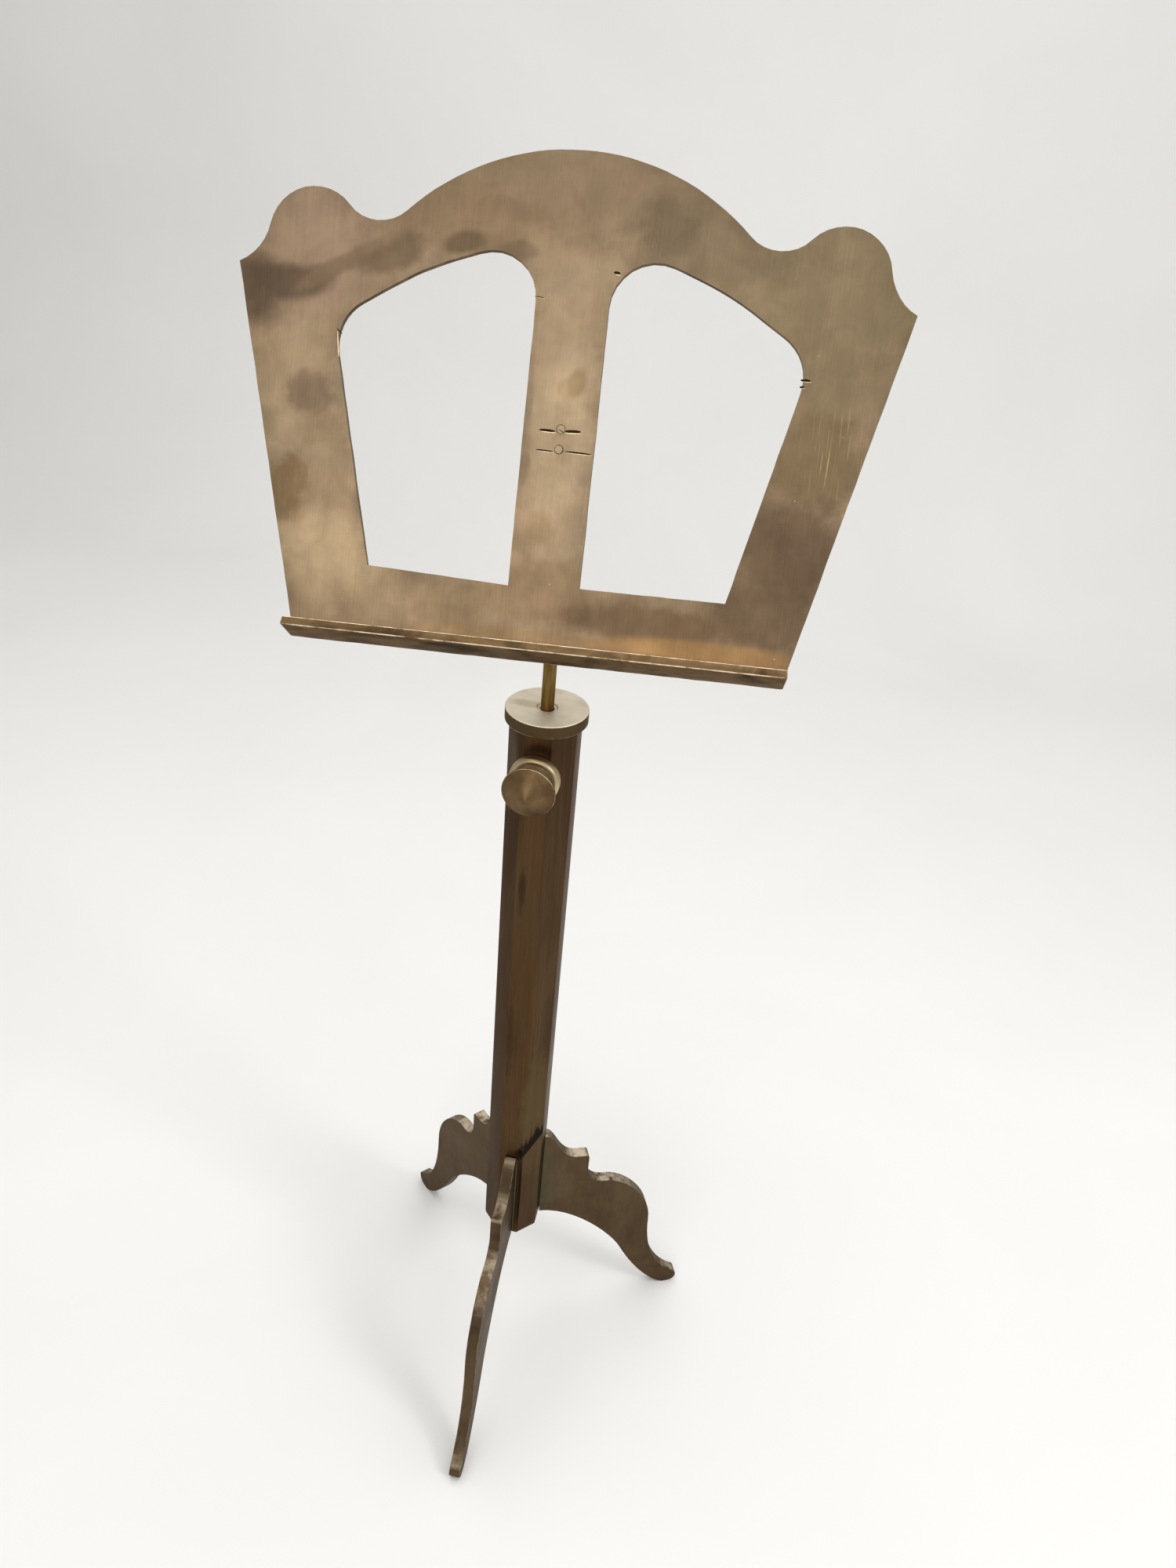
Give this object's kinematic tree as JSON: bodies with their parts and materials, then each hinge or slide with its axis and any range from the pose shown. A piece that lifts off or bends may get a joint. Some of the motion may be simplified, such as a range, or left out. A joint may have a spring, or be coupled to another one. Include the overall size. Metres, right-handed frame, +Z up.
{
  "type": "music stand",
  "caption": "floor-standing brass music stand: fretted desk with a ledge on a sliding, turning rod, an eight-sided column with a clamp knob, and curved plate legs",
  "frame": {"origin": "middle of the whole stand's bounding box, on the floor under the soles", "axes": "+Z up, -Y towards the player (the way the clamp knob and front leg point), +X to the player's right when facing the desk"},
  "size_m": [0.5078, 0.3936, 1.3273],
  "materials": {
    "column": "dark aged brass tube, polished long ago, with brown tarnish and heat stain",
    "cap": "paler turned brass, brushed flat top",
    "leg": "aged brass plate with bright worn top edges",
    "desk": "fine upright brushing, blotched brown and pinkish tarnish",
    "ledge": "rough-sawn front edge with a bright upper arris",
    "knob": "turned brass, darkened, bright on the rims",
    "rod": "drawn brass rod, golden, rubbed by sliding",
    "hardware": "plain machined brass",
    "rivet": "rivet filed flush and brushed with the plate",
    "fibre": "red-brown vulcanised fibre",
    "nylon": "dark plain nylon"
  },
  "bodies": {
    "stand": {"column_tube": "column", "column_cap": "cap", "cap_bush": "hardware", "guide_block": "hardware", "base_plug": "column", "clamp_boss": "knob", "leg_front": "leg", "leg_right": "leg", "leg_left": "leg"},
    "clamp_presser": {"clamp_pad": "hardware"},
    "clamp_grip": {"clamp_screw": "hardware", "clamp_knob": "knob"},
    "height_carriage": {"rod_slider": "nylon"},
    "turning_rod": {"rod": "rod", "rod_end_washer": "hardware", "rod_end_screw": "hardware"},
    "desk": {"desk_plate": "desk", "ledge_bar": "ledge", "desk_bracket": "hardware", "rivet_upper": "rivet", "rivet_lower": "rivet", "pivot_bolt": "hardware", "friction_washer_right": "fibre", "friction_washer_left": "fibre"},
    "tilt_presser": {"tilt_washer": "hardware"},
    "tilt_grip": {"tilt_knob": "knob"}
  },
  "joints": [
    {"name": "height_slide", "type": "slide", "parent": "stand", "child": "height_carriage", "axis": [0, 0, 1], "range_m": [-0.16, 0.22]},
    {"name": "rod_swivel", "type": "hinge", "parent": "height_carriage", "child": "turning_rod", "pos_m": [0.00739, 0.03339, 0.53], "axis": [0, 0, 1], "continuous": true},
    {"name": "desk_tilt", "type": "hinge", "parent": "turning_rod", "child": "desk", "pos_m": [0.00739, 0.03339, 1.1249], "axis": [-0.9981, -0.061, 0], "range_deg": [-20, 55]},
    {"name": "clamp_press", "type": "slide", "parent": "stand", "child": "clamp_presser", "axis": [0, -1, 0], "range_m": [0, 0.00225]},
    {"name": "clamp_turn", "type": "hinge", "parent": "clamp_presser", "child": "clamp_grip", "pos_m": [0.00739, -0.00661, 0.838], "axis": [0, -1, 0], "range_deg": [0, 540.1]},
    {"name": "tilt_press", "type": "slide", "parent": "desk", "child": "tilt_presser", "axis": [-0.9981, -0.061, 0], "range_m": [0, 0.00075]},
    {"name": "tilt_turn", "type": "hinge", "parent": "tilt_presser", "child": "tilt_grip", "pos_m": [0.00739, 0.03339, 1.1249], "axis": [-0.9981, -0.061, 0], "range_deg": [0, 270.1]}
  ],
  "couplings": [
    {"joint": "clamp_turn", "follows": "clamp_press", "rad_per_m": 4188.8},
    {"joint": "tilt_turn", "follows": "tilt_press", "rad_per_m": 6283.2}
  ]
}
